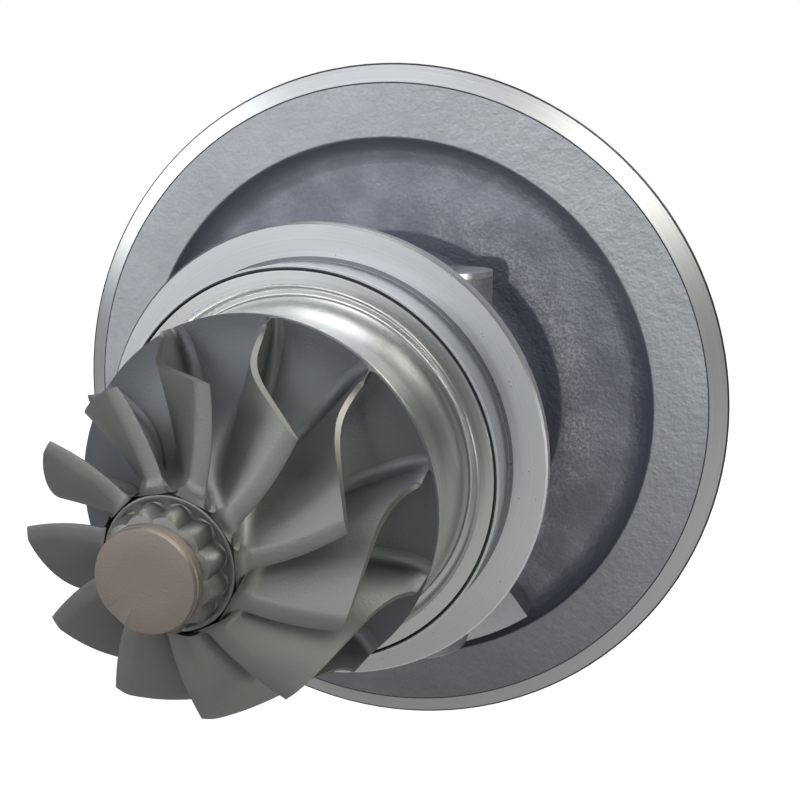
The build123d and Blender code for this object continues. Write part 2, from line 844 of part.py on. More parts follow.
def compressor_body():
    """The flared hub and the back disc, solid through the middle."""
    hub = lofted_hub(compressor_hub_line)
    hub += tube(compressor_back_y, compressor_rim_y, compressor_r)
    return hub + turned(
        (compressor_inlet_y, 0),
        (compressor_inlet_y, compressor_hub_r),
        (nose_tip_y, compressor_hub_r - 0.6),
        (nose_tip_y, 0),
    )


def compressor_wheel():
    return compressor_body() - tube(compressor_back_y - cut_past, nose_tip_y + cut_past, stub_r + bore_slip)


def compressor_blade_ring():
    """Seven full blades with a shorter splitter between each two, cut to sit on the hub."""
    full = blade_between(
        compressor_rail(compressor_hub_line, -compressor_rim_t / 2, compressor_root_t),
        compressor_rail(compressor_shroud_line, 2.5, compressor_tip_t),
    )
    full -= compressor_body()
    splitter_y = compressor_inlet_y - (compressor_inlet_y - compressor_rim_y) * splitter_start
    main = full & compressor_blade_space(compressor_inlet_y - compressor_lead_step)
    short = full & compressor_blade_space(splitter_y)
    step = 360 / compressor_blades
    blades = [Rot(0, step * k, 0) * main for k in range(compressor_blades)]
    blades += [Rot(0, step * (k + 0.5), 0) * short for k in range(compressor_blades)]
    return Compound(children=blades)


def compressor_nut():
    """The twelve-point flange nut that clamps the compressor wheel."""
    flange_y = nose_tip_y + nut_flange_t
    body = Plane.XZ.offset(-flange_y) * RegularPolygon(nut_across_flats / 2, 6, major_radius=False)
    body = extrude(body, -nut_len)
    other = Rot(0, 30, 0) * body
    nut = body + other + tube(nose_tip_y, flange_y, nut_flange_r, cut=0.4)
    return nut - tube(nose_tip_y - cut_past, nut_front_y + cut_past, stub_r + bore_slip)


def rotor_shaft():
    """One stepped steel shaft, from the weld on the wheel to the nut."""
    hub_end_y = slinger_y - hub_end_inset
    waist_half = chamber_len / 2 - waist_inset
    waist_y = chamber_y + chamber_len / 2
    end_y = nut_front_y + shaft_past_nut
    shaft = turned(
        (weld_y, 0),
        (weld_y, seal_hub_r, 0, 0.3),
        (hub_end_y, seal_hub_r, 0, 0.6),
        (hub_end_y + hub_flare_len, journal_r),
        (waist_y - waist_half, journal_r, 0, 0.3),
        (waist_y - waist_half, waist_r),
        (waist_y + waist_half, waist_r),
        (waist_y + waist_half, journal_r, 0, 0.3),
        (collar_back_y, journal_r, 0, 0.3),
        (collar_back_y, stub_r),
        (end_y, stub_r, 0, 0.8),
        (end_y, 0),
    )
    half = seal_ring_t / 2 + seal_ring_side_gap
    groove_floor = seal_bore_turbine_r - seal_ring_wall_gap - seal_ring_width - seal_ring_floor_gap
    return shaft - tube(turbine_ring_y - half, turbine_ring_y + half, seal_hub_r + cut_past, groove_floor)


os.makedirs("parts", exist_ok=True)
save(bearing_housing(), "bearing_housing")
save(heat_shield(), "heat_shield")
save(thrust_bearing(), "thrust_bearing")
save(thrust_screws(), "thrust_bearing_screws")
save(oil_baffle(), "oil_baffle")
save(seal_plate(), "seal_plate")
save(seal_plate_o_ring(), "seal_plate_o_ring")
save(seal_plate_ring(), "seal_plate_retaining_ring")
save(o_ring(cover_o_ring_section, cover_o_ring_near, spigot_r, 0.1), "cover_o_ring")
save(bush_rings(turbine_bush_y, 0.0), "turbine_bush_rings")
save(bush_rings(compressor_bush_y, 0.0), "compressor_bush_rings")
save(piston_ring(turbine_ring_y, seal_bore_turbine_r), "turbine_piston_ring")
save(piston_ring(compressor_ring_y, sleeve_r + seal_gap), "compressor_piston_ring")
save(floating_bush(turbine_bush_y), "turbine_bush")
save(floating_bush(compressor_bush_y), "compressor_bush")
save(turbine_wheel(), "turbine_wheel")
save(turbine_blade_ring(), "turbine_blades")
save(rotor_shaft(), "rotor_shaft")
save(thrust_collar(), "thrust_collar")
save(seal_sleeve(), "seal_sleeve")
save(compressor_wheel(), "compressor_wheel")
save(compressor_blade_ring(), "compressor_blades")
save(compressor_nut(), "compressor_nut")
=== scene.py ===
from math import radians

import bpy
import numpy as np
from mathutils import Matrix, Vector


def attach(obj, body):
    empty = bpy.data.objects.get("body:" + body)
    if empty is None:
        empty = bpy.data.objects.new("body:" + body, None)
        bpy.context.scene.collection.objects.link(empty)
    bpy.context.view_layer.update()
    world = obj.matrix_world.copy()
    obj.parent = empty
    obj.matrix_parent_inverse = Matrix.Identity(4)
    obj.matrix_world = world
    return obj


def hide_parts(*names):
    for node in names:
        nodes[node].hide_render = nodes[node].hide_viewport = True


# Turbocharger cartridge: the CAD pieces keep their shapes and get their finishes here,
# and the cast turbine wheel is drawn again with its root fillets and rounded edges.

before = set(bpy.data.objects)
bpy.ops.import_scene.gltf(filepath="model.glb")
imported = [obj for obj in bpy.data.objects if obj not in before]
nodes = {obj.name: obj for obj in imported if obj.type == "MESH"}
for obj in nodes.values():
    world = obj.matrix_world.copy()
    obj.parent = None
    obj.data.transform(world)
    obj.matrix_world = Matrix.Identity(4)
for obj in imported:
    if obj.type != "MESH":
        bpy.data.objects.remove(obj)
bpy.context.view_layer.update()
mm = 0.001
shaftAxis = (0.0, 1.0, 0.0)
print("frame loaded:", len(nodes), "nodes")


# Meshes from whole arrays

# A surface over a (rows, columns, 3) grid of points in millimetres, its columns joined round.
def gridMesh(name, rings, closedRound=True, flip=False):
    rows, columns = rings.shape[:2]
    index = np.arange(rows * columns).reshape(rows, columns)
    across = np.roll(index, -1, axis=1) if closedRound else index[:, 1:]
    here = index if closedRound else index[:, :-1]
    quads = np.stack([here[:-1], across[:-1], across[1:], here[1:]], axis=-1).reshape(-1, 4)
    if flip:
        quads = quads[:, ::-1]
    return {"name": name, "points": rings.reshape(-1, 3), "quads": quads}


# Several surfaces as one: their points stacked and their faces renumbered.
def joined(name, parts):
    points = np.concatenate([part["points"] for part in parts])
    starts = np.cumsum([0] + [len(part["points"]) for part in parts[:-1]])
    quads = np.concatenate([part["quads"] + start for part, start in zip(parts, starts)])
    slots = np.concatenate([np.full(len(part["quads"]), part.get("slot", 0)) for part in parts])
    return {"name": name, "points": points, "quads": quads, "slots": slots}


# A Blender mesh from a surface, smooth except where faces meet at more than sharpDegrees.
def meshObject(surface, sharpDegrees=35):
    mesh = bpy.data.meshes.new(surface["name"])
    points = np.ascontiguousarray(surface["points"] * mm, dtype=np.float32)
    quads = np.ascontiguousarray(surface["quads"], dtype=np.int32)
    mesh.vertices.add(len(points))
    mesh.vertices.foreach_set("co", points.ravel())
    mesh.loops.add(quads.size)
    mesh.loops.foreach_set("vertex_index", quads.ravel())
    mesh.polygons.add(len(quads))
    mesh.polygons.foreach_set("loop_start", np.arange(0, quads.size, 4, dtype=np.int32))
    mesh.polygons.foreach_set("material_index", surface.get("slots", np.zeros(len(quads))).astype(np.int32))
    mesh.update(calc_edges=True)
    mesh.validate()
    mesh.polygons.foreach_set("use_smooth", np.ones(len(mesh.polygons), dtype=bool))
    mesh.set_sharp_from_angle(angle=radians(sharpDegrees))
    piece = bpy.data.objects.new(surface["name"], mesh)
    bpy.context.scene.collection.objects.link(piece)
    return piece


# Points at y and radius r, clockwise from up seen from the nose, then moved round by offset.
def aroundShaft(y, r, degrees, offset=0.0):
    a = np.radians(degrees)
    x = r * np.sin(a) + offset * np.cos(a)
    z = r * np.cos(a) - offset * np.sin(a)
    return np.stack(np.broadcast_arrays(x, y, z), axis=-1)


# A profile of (y, r) rows carried round the shaft: x = r sin a, z = r cos a.
def turnedSurface(name, profile, columns, flip=False):
    profile = np.array(profile, float)
    degrees = np.arange(columns) * 360.0 / columns
    rings = aroundShaft(profile[:, :1], profile[:, 1:], degrees[None, :])
    return gridMesh(name, rings, True, flip)


# Turbine wheel

turbine = {
    "blades": 11,
    "phase": 10.57,         # degrees clockwise from up, of the first leading corner
    "backY": -95.5,
    "weldY": -91.5,
    "discR": 38.4,
    "discT": 1.6,
    "leadR": 38.2,
    "leadWidth": 9.0,
    "exitR": 31.0,
    "bladeLen": 31.3,
    "exitHubLen": 34.0,
    "shroudBend": 1.6,
    "hubR": 12.3,
    "hubLen": 36.3,
    "backHubR": 13.0,
    "wrapEven": 7.0,
    "wrapLate": 25.6,
    "rootT": 2.4,
    "tipT": 0.85,
    "rootFillet": 2.3,
    "edgeRound": 0.42,
    "points": 12,
    "pointOutR": 11.0,
    "pointInR": 9.5,
    "driveLen": 5.0,
    "capR": 9.2,
    "capLen": 3.1,
    "notchAt": -140.0,      # degrees clockwise from up, of the balancing flat on the cap's rim
    "notchDepth": 0.75,
    "notchLean": 50,
    "bladeRows": 26,        # rings from a blade's foot to its tip
    "rowCrowd": 1.35,       # above one, the rings crowd towards the foot
    "bladeSteps": 46,
    "taperHeight": 26,      # the rise over which a blade thins from rootT to tipT
    "edgeShare": 0.15,      # what is left of the thickness at a blade's very edge
    "flareFrom": 0.86,      # from here to the exit the root fillet also spreads forwards
    "hubRows": 40,
    "hubColumns": 220,
    "hubCrowd": 1.6,
    "driveColumns": 288,
    "scallopPower": 0.8,
}


# A superellipse from the leading corner to the exit tip: radius drop = (1 - (1 - s)^n)^(1/n).
def turbineShroudLine(s):
    t = turbine
    y = t["backY"] - t["leadWidth"] - (t["bladeLen"] - t["leadWidth"]) * s
    drop = (1 - (1 - s) ** t["shroudBend"]) ** (1 / t["shroudBend"])
    return y, t["leadR"] - (t["leadR"] - t["exitR"]) * drop


# Degrees of blade turn at y: an even part and a part that grows as the cube past the corner.
def turbineTurn(y):
    t = turbine
    s = (t["backY"] - t["leadWidth"] - y) / (t["bladeLen"] - t["leadWidth"])
    late = np.maximum(s, 0)
    turn = t["wrapEven"] * s + t["wrapLate"] * late**3
    rate = np.radians(t["wrapEven"] + 3 * t["wrapLate"] * late**2) / (t["bladeLen"] - t["leadWidth"])
    return turn, rate


# The hub ellipse's radius at y.
def hubRadiusAt(y):
    t = turbine
    rimY = t["backY"] - t["discT"]
    endY = t["backY"] - t["hubLen"]
    share = np.clip((y - endY) / (rimY - endY), 0, 1)
    return t["discR"] - (t["discR"] - t["hubR"]) * np.sqrt(1 - share**2)


# A blade as rings from foot to tip: each ring runs along one side, round the exit edge and back.
# Thickness tapers with radius; near the hub it widens as a quarter circle, which is the root fillet.
def turbineBlade(number):
    t = turbine
    v = np.linspace(0, 1, t["bladeRows"]) ** t["rowCrowd"]
    u = 0.5 - 0.5 * np.cos(np.linspace(0, np.pi, t["bladeSteps"]))
    shroudY, shroudR = turbineShroudLine(u)
    endY = t["backY"] - t["exitHubLen"]
    footY = t["backY"] - t["discT"] + (endY - t["backY"] + t["discT"]) * u
    footR = hubRadiusAt(footY)
    y = footY + (shroudY - footY) * v[:, None]
    r = footR + (shroudR - footR) * v[:, None]
    height = np.sqrt((shroudY - footY) ** 2 + (shroudR - footR) ** 2) * v[:, None]
    fillet = t["rootFillet"]
    lowDown = np.clip(1 - height / fillet, 0, 1)
    flare = fillet * (1 - np.sqrt(np.clip(1 - lowDown**2, 0, 1)))
    rise = np.clip((r - t["hubR"]) / t["taperHeight"], 0, 1)
    half = (t["rootT"] + (t["tipT"] - t["rootT"]) * rise) / 2
    ends = np.minimum(u, 1 - u) * t["bladeLen"] / t["edgeRound"]
    roundOff = np.sqrt(np.clip(1 - (1 - np.clip(ends, 0, 1)) ** 2, 0, 1))
    turn, rate = turbineTurn(y)
    slant = np.sqrt(1 + (r * rate) ** 2)
    offset = (half * (t["edgeShare"] + (1 - t["edgeShare"]) * roundOff) + flare) * slant
    y = y - flare * np.clip((u - t["flareFrom"]) / (1 - t["flareFrom"]), 0, 1) ** 2
    degrees = t["phase"] + 360 / t["blades"] * number + turn
    near = aroundShaft(y, r, degrees, -offset)
    far = aroundShaft(y, r, degrees, offset)
    rings = np.concatenate([near, far[:, ::-1]], axis=1)
    sides = gridMesh("side", rings, True)
    lid = np.stack([near[-1], far[-1]])
    top = gridMesh("lid", lid, False, True)
    top["slot"] = 1
    return [sides, top]


# A grinding flat: points past a plane move back onto it along its normal.
def groundFlat(surface, degrees, reach, frontY, lean):
    a = radians(degrees)
    out = np.array([np.sin(a), 0, np.cos(a)])
    normal = out * np.cos(radians(lean)) + np.array([0, -1, 0]) * np.sin(radians(lean))
    spot = out * reach + np.array([0, frontY, 0])
    past = (surface["points"] - spot) @ normal
    surface["points"] = surface["points"] - np.clip(past, 0, None)[:, None] * normal
    return surface


# The scalloped twelve-point drive and the round cap, as rings whose radius is a formula of angle.
def driveAndCap():
    t = turbine
    columns = t["driveColumns"]
    degrees = np.arange(columns) * 360.0 / columns
    hubEnd = t["backY"] - t["hubLen"]
    driveEnd = hubEnd - t["driveLen"]
    wave = np.abs(np.cos(np.radians(degrees * t["points"] / 2 + 90)))
    star = t["pointOutR"] - (t["pointOutR"] - t["pointInR"]) * (1 - wave) ** t["scallopPower"]
    rows = []
    for y, r, share in (    # share is nought on a round ring and one on the star
        (hubEnd + 0.6, t["hubR"], 0),
        (hubEnd + 0.15, t["hubR"] - 0.12, 0),
        (hubEnd, t["hubR"] - 0.35, 0),
        (hubEnd + 0.05, t["hubR"] - 0.8, 0),
        (hubEnd + 0.45, t["hubR"] - 1.1, 0.5),
        (hubEnd + 0.35, 0, 1),
        (hubEnd - 0.3, 0, 1),
        (driveEnd + 1.6, 0, 1),
        (driveEnd + 0.5, t["capR"] + 0.15, 0.55),
        (driveEnd, t["capR"] - 0.25, 0),
        (driveEnd - 0.25, t["capR"] - 0.2, 0),
        (driveEnd - 0.45, t["capR"], 0),
        (driveEnd - t["capLen"] * 0.62, t["capR"], 0),
        (driveEnd - t["capLen"] * 0.68, t["capR"] - 0.16, 0),
        (driveEnd - t["capLen"] + 0.25, t["capR"] - 0.2, 0),
        (driveEnd - t["capLen"] + 0.06, t["capR"] - 0.28, 0),
        (driveEnd - t["capLen"], t["capR"] - 0.5, 0),
        (driveEnd - t["capLen"], t["capR"] * 0.5, 0),
        (driveEnd - t["capLen"], 0.01, 0),
    ):
        radius = star * share + r * (1 - share) if share < 1 else star
        rows.append(aroundShaft(y, radius * np.ones(columns), degrees))
    drive = gridMesh("drive", np.stack(rows), True)
    return groundFlat(drive, t["notchAt"], t["capR"] - t["notchDepth"], driveEnd - t["capLen"],
                      t["notchLean"])


def buildTurbineWheel():
    t = turbine
    hubEnd = t["backY"] - t["hubLen"]
    share = np.linspace(0, 1, t["hubRows"])
    hubY = t["backY"] - t["discT"] + (hubEnd + 0.6 - t["backY"] + t["discT"]) * share ** t["hubCrowd"]
    profile = [(t["weldY"], 0.01), (t["weldY"], t["backHubR"] - 0.8), (t["backY"], t["backHubR"]),
               (t["backY"], t["discR"] - 0.25), (t["backY"] - 0.25, t["discR"]),
               (t["backY"] - t["discT"] + 0.02, t["discR"])]
    profile += list(zip(hubY, hubRadiusAt(hubY)))
    parts = [turnedSurface("hub", profile, t["hubColumns"])]
    for number in range(t["blades"]):
        parts += turbineBlade(number)
    parts.append(driveAndCap())
    wheel = meshObject(joined("turbineWheelCast", parts))
    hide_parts("turbine_wheel", "turbine_blades")
    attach(wheel, "rotor")
    return wheel


turbineWheel = buildTurbineWheel()
print("turbine wheel:", len(turbineWheel.data.polygons), "faces")


# Materials

# An sRGB hex colour as linear RGBA.
def linear(hexColour):
    channels = [int(hexColour[k:k + 2], 16) / 255 for k in (1, 3, 5)]
    return tuple(c / 12.92 if c <= 0.04045 else ((c + 0.055) / 1.055) ** 2.4 for c in channels) + (1.0,)


# Adds one shader node with its settings, fills or links its inputs, and gives one of its outputs.
# An input given as text is an sRGB hex colour.
def addNode(tree, kind, inputs=None, out=0, **settings):
    node = tree.nodes.new("ShaderNode" + kind)
    for name, value in settings.items():
        setattr(node, name, value)
    for name, value in (inputs or {}).items():
        if isinstance(value, bpy.types.NodeSocket):
            tree.links.new(value, node.inputs[name])
        else:
            node.inputs[name].default_value = linear(value) if isinstance(value, str) else value
    return node.outputs[out]


# An empty node material: itself, its tree, its shader, and every point's place, radius and y.
def newMaterial(name):
    material = bpy.data.materials.new(name)
    material.use_nodes = True
    tree = material.node_tree
    place = addNode(tree, "TexCoord", out="Object")
    flat = addNode(tree, "VectorMath", {0: place, 1: (1, 0, 1)}, operation="MULTIPLY")
    radius = addNode(tree, "VectorMath", {0: flat}, out="Value", operation="LENGTH")
    y = addNode(tree, "SeparateXYZ", {0: place}, out="Y")
    return material, tree, tree.nodes["Principled BSDF"], place, radius, y


# Sets or links the shader's sockets, named with their spaces left out.
def fill(shader, **values):
    for name, value in values.items():
        socket = next(s for s in shader.inputs if s.name.replace(" ", "") == name)
        if isinstance(value, bpy.types.NodeSocket):
            shader.id_data.links.new(value, socket)
        else:
            socket.default_value = value


# The direction round the shaft, which stretches the highlight of a turned surface across its rings.
def roundTangent(tree, place):
    way = addNode(tree, "VectorMath", {0: place, 1: shaftAxis}, operation="CROSS_PRODUCT")
    turned = addNode(tree, "VectorTransform", {0: way}, vector_type="VECTOR", convert_from="OBJECT",
                     convert_to="WORLD")
    return addNode(tree, "VectorMath", {0: turned}, operation="NORMALIZE")


def dress(names, material):
    for name in names:
        slots = nodes[name].data.materials
        slots.clear()
        slots.append(material)


iron = {
    "bandR": 89.9,
    "bandOutR": 94.5,
    "flangeY": -53.7,
    "pilotR": 46.02,
    "reliefR": 47.03,
    "lipR": 45.5,
    "pilotEndY": -72.5,
    "flangeEdgeR": 54.2,
    "spigotY": 4.0,
    "spigotR": 87.9,
    "padTopZ": 40.6,
    "padFootZ": -57.9,
    "padsAheadOfY": -11.0,
    "landTopZ": -49.0,
    "landFrontY": -10.5,
    "landBackY": -7.2,
    "lineWidth": 0.35,
    "webR": (75.8, 75.0),       # pairs are where a soft edge starts and where it is full
    "wallR": (70.0, 75.0),
    # Painted sheen on the web, right of the painted shadow, between these radii and across x
    "wornR": (66.0, 52.0),
    "wornX": (-5.0, 30.0),
    # Painted shadow of the turbine flange and inlet pad on the web: a disc round the neck and a rounded
    # corner by the pad
    "neckSkinR": (50.8, 49.8),
    "neckSkinY": (-34.0, -18.0),
    "padSkinX": 30.5,
    "padSkinZ": 39.5,
    "padSkinR": (4.4, 3.6),
    "coarseX": (-20.0, 80.0),
    # Painted shade: the annulus is darkened from the first height down to the second, to the share footShade
    "footZ": (15.0, -85.0),
    "castDark": "#adb1b6",
    "castLight": "#c5c9cd",
    "footShade": 0.4,
    "webDark": "#83868f",
    "webLight": "#9497a1",
    # Colour of the painted sheen on the web
    "webClean": "#b3b5bb",
    # Colour of a bluish painted fill light on the channel's shaded wall
    "wallTint": "#a4abb9",
    # Colour of the painted shadow of flange and pad on the web
    "neckShade": "#5f6470",
    "turnedDark": "#c2c5c8",
    "turnedLight": "#d4d7d8",
    # Painted shade in the relief groove at the pilot's root
    "rootTone": "#808388",
    # Painted highlight on the pilot's end edge and the flange's outer edge
    "edgeTone": "#f0f2f3",
    # Painted shade in dark lines at the band's step, the lip's gap and the outer rim; also the real pores
    "line": "#46494d",
}


# Grey iron, sand cast and shot blasted: a soft pebbled grey with a cool cast. The bands, joints and
# pads are machined: bright, smoother, with fine rings and a highlight stretched across them.
def castAndTurnedIron():
    k = iron
    material, tree, shader, place, radius, y = newMaterial("castAndTurnedIron")
    x = addNode(tree, "SeparateXYZ", {0: place}, out="X")
    z = addNode(tree, "SeparateXYZ", {0: place}, out="Z")

    # Hard masks: each is one where its length lies on the named side of an edge in millimetres
    mask = {}
    for name, length, side, edge in (
        ("band", radius, "GREATER_THAN", k["bandR"]),
        ("bandFoot", radius, "GREATER_THAN", k["bandR"] - k["lineWidth"]),
        ("insideBand", radius, "LESS_THAN", k["bandR"]),
        ("rim", radius, "GREATER_THAN", k["bandOutR"]),
        ("beyondSpigot", radius, "GREATER_THAN", k["spigotR"]),
        ("behindDisc", y, "GREATER_THAN", -0.5),
        ("beforeDisc", y, "LESS_THAN", 0.0),
        ("spigotEnd", y, "GREATER_THAN", k["spigotY"]),
        ("padTop", z, "GREATER_THAN", k["padTopZ"]),
        ("padFoot", z, "LESS_THAN", k["padFootZ"]),
        ("ahead", y, "LESS_THAN", k["padsAheadOfY"]),
        ("flange", y, "LESS_THAN", k["flangeY"]),
        ("beyondPilot", radius, "GREATER_THAN", k["pilotR"]),
        ("insideRelief", radius, "LESS_THAN", k["reliefR"]),
        ("lip", radius, "LESS_THAN", k["lipR"]),
        ("pilotEnd", y, "LESS_THAN", k["pilotEndY"]),
        ("pilotWall", radius, "GREATER_THAN", k["pilotR"] - 0.1),
        ("flangeEdge", radius, "GREATER_THAN", k["flangeEdgeR"]),
        ("beforeWeb", y, "LESS_THAN", k["landBackY"]),
        ("behindLand", y, "GREATER_THAN", k["landFrontY"]),
        ("low", z, "LESS_THAN", k["landTopZ"]),
        ("upper", z, "GREATER_THAN", 0.0),
        ("right", x, "GREATER_THAN", 5.0),
    ):
        mask[name] = addNode(tree, "Math", {0: length, 1: edge * mm}, operation=side)

    # The cast skin's noises: broad blotches, pebbles and grit, and cells for a few pores
    blotch = addNode(tree, "TexNoise", {"Vector": place, "Scale": 1 / (11 * mm), "Detail": 4.0})
    pebble = addNode(tree, "TexNoise", {"Vector": place, "Scale": 1 / (2.6 * mm), "Detail": 4.0})
    grit = addNode(tree, "TexNoise", {"Vector": place, "Scale": 1 / (0.8 * mm), "Detail": 2.0})
    cell = addNode(tree, "TexVoronoi", {"Vector": place, "Scale": 1 / (1.4 * mm)}, out="Distance")

    # How far a point lies past the corner of the painted shadow round the inlet pad
    corner = addNode(tree, "VectorMath", {0: place}, operation="ABSOLUTE")
    shadowCorner = (k["padSkinX"] * mm, 1.0, k["padSkinZ"] * mm)    # a whole metre takes y out
    corner = addNode(tree, "VectorMath", {0: corner, 1: shadowCorner}, operation="SUBTRACT")
    corner = addNode(tree, "VectorMath", {0: corner, 1: (0, 0, 0)}, operation="MAXIMUM")
    corner = addNode(tree, "VectorMath", {0: corner}, out="Value", operation="LENGTH")

    # Soft masks, which run from nought at the pair's first value to one at its second
    for name, value, pair, unit in (
        ("patch", blotch, (0.35, 0.65), 1),
        ("worn", grit, (0.4, 0.62), 1),
        ("pored", grit, (0.595, 0.6), 1),
        ("pore", cell, (0.14, 0.13), 1),
        ("web", radius, k["webR"], mm),
        ("ringed", radius, k["wornR"], mm),
        ("toRight", x, k["wornX"], mm),
        ("nearPad", corner, k["padSkinR"], mm),
        ("nearNeck", radius, k["neckSkinR"], mm),
        ("nearWeb", y, k["neckSkinY"], mm),
        ("wall", radius, k["wallR"], mm),
    ):
        ends = {"Value": value, "From Min": pair[0] * unit, "From Max": pair[1] * unit}
        mask[name] = addNode(tree, "MapRange", ends, interpolation_type="SMOOTHSTEP")

    # Masks put together, two at a time
    for name, first, how, second in (
        ("spigot", "beyondSpigot", "MULTIPLY", "behindDisc"),
        ("pads", "padTop", "MAXIMUM", "padFoot"),
        ("pads", "pads", "MULTIPLY", "ahead"),
        ("turned", "band", "MAXIMUM", "spigot"),
        ("turned", "turned", "MAXIMUM", "pads"),
        ("turned", "turned", "MAXIMUM", "spigotEnd"),
        ("turned", "turned", "MAXIMUM", "flange"),
        # The painted sheen, broken up by grit and blotches
        ("clean", "ringed", "MULTIPLY", "toRight"),
        ("clean", "clean", "MULTIPLY", "worn"),
        ("clean", "clean", "MULTIPLY", "patch"),
        # The painted shadow of flange and pad, kept near the web
        ("shade", "nearPad", "MULTIPLY", "upper"),
        ("shade", "shade", "MAXIMUM", "nearNeck"),
        ("shade", "shade", "MULTIPLY", "nearWeb"),
        ("landTop", "beforeWeb", "MULTIPLY", "behindLand"),
        ("landTop", "landTop", "MULTIPLY", "low"),
        ("root", "beyondPilot", "MULTIPLY", "insideRelief"),
        ("root", "root", "MULTIPLY", "flange"),
        ("lip", "lip", "MULTIPLY", "flange"),
        ("step", "bandFoot", "MULTIPLY", "insideBand"),
        ("step", "step", "MULTIPLY", "beforeDisc"),
        ("pore", "pore", "MULTIPLY", "pored"),
        ("pore", "pore", "MULTIPLY", "flange"),
        ("pore", "pore", "MULTIPLY", "right"),
        ("edge", "pilotEnd", "MULTIPLY", "pilotWall"),
        ("flangeEdge", "flangeEdge", "MULTIPLY", "flange"),
        ("edge", "edge", "MAXIMUM", "flangeEdge"),
        ("line", "lip", "MAXIMUM", "step"),
        ("line", "line", "MAXIMUM", "rim"),
        ("line", "line", "MAXIMUM", "pore"),
    ):
        mask[name] = addNode(tree, "Math", {0: mask[first], 1: mask[second]}, operation=how)

    # The web: a painted shadow of flange and pad close to neck and pad, a painted sheen to the right of it,
    # a painted bluish fill light by the channel wall, and the light cast tone on the land's top
    webTone = addNode(tree, "Mix", {0: mask["patch"], 6: k["webDark"], 7: k["webLight"]}, out=2,
                      data_type="RGBA")
    for share, colour in (("clean", k["webClean"]), ("shade", k["neckShade"]), ("wall", k["wallTint"]),
                          ("landTop", k["castLight"])):
        webTone = addNode(tree, "Mix", {0: mask[share], 6: webTone, 7: colour}, out=2, data_type="RGBA")

    # The annulus is painted darker towards its foot, a painted shade, and its skin is coarser towards the
    # right
    castTone = addNode(tree, "Mix", {0: blotch, 6: k["castDark"], 7: k["castLight"]}, out=2,
                       data_type="RGBA")
    foot = addNode(tree, "MapRange", {"Value": z, "From Min": k["footZ"][0] * mm,
                                      "From Max": k["footZ"][1] * mm, "To Min": 1.0,
                                      "To Max": k["footShade"]})
    castTone = addNode(tree, "Mix", {0: 1.0, 6: castTone, 7: foot}, out=2, data_type="RGBA",
                       blend_type="MULTIPLY")
    castTone = addNode(tree, "Mix", {0: mask["web"], 6: castTone, 7: webTone}, out=2, data_type="RGBA")
    rough = addNode(tree, "MapRange", {"Value": x, "From Min": k["coarseX"][0] * mm,
                                       "From Max": k["coarseX"][1] * mm, "To Min": 0.45, "To Max": 1.0})

    # Turned faces: fine rings, a few dark pores, painted shade as dark lines at the band's step, the lip's
    # gap and the outer rim and in the pilot's root relief, and painted highlights as bright lines at the
    # edges
    rings = addNode(tree, "TexNoise", {"W": radius, "Scale": 1 / (0.45 * mm), "Detail": 2.0},
                    noise_dimensions="1D")
    tone = addNode(tree, "Mix", {0: rings, 6: k["turnedDark"], 7: k["turnedLight"]}, out=2, data_type="RGBA")
    for share, colour in (("root", k["rootTone"]), ("edge", k["edgeTone"])):
        tone = addNode(tree, "Mix", {0: mask[share], 6: tone, 7: colour}, out=2, data_type="RGBA")
    tone = addNode(tree, "Mix", {0: mask["turned"], 6: castTone, 7: tone}, out=2, data_type="RGBA")
    tone = addNode(tree, "Mix", {0: mask["line"], 6: tone, 7: k["line"]}, out=2, data_type="RGBA")

    pebbled = addNode(tree, "Mix", {0: 0.3, 2: pebble, 3: grit}, data_type="FLOAT")
    pebbled = addNode(tree, "Math", {0: pebbled, 1: rough}, operation="MULTIPLY")
    fineRings = addNode(tree, "Math", {0: rings, 1: 0.03}, operation="MULTIPLY")
    relief = addNode(tree, "Mix", {0: mask["turned"], 2: pebbled, 3: fineRings}, data_type="FLOAT")
    castRough = addNode(tree, "MapRange", {"Value": grit, "From Min": 0.3, "From Max": 0.7, "To Min": 0.6,
                                           "To Max": 0.42})
    fill(shader, BaseColor=tone, Tangent=roundTangent(tree, place),
         Metallic=addNode(tree, "Mix", {0: mask["turned"], 2: 0.85, 3: 1.0}, data_type="FLOAT"),
         Roughness=addNode(tree, "Mix", {0: mask["turned"], 2: castRough, 3: 0.32}, data_type="FLOAT"),
         Anisotropic=addNode(tree, "Math", {0: mask["turned"], 1: 0.6}, operation="MULTIPLY"),
         Normal=addNode(tree, "Bump", {"Height": relief, "Distance": 0.45 * mm}))
    return material


# Stainless sheet, pressed and buffed: satin, a little warm from heat, with faint rings.
def pressedStainless():
    material, tree, shader, place, radius, y = newMaterial("pressedStainless")
    along = addNode(tree, "Math", {0: radius, 1: y}, operation="ADD")
    lines = addNode(tree, "TexNoise", {"W": along, "Scale": 1 / (0.9 * mm), "Detail": 1.0},
                    noise_dimensions="1D")
    warm = addNode(tree, "TexNoise", {"Vector": place, "Scale": 1 / (24 * mm), "Detail": 2.0})
    fill(shader, Metallic=1.0, Anisotropic=0.3, Tangent=roundTangent(tree, place),
         BaseColor=addNode(tree, "Mix", {0: warm, 6: "#dadddd", 7: "#d3d3cf"}, out=2, data_type="RGBA"),
         Roughness=addNode(tree, "MapRange", {"Value": lines, "To Min": 0.22, "To Max": 0.27}),
         Normal=addNode(tree, "Bump", {"Height": lines, "Distance": 0.004 * mm}))
    return material


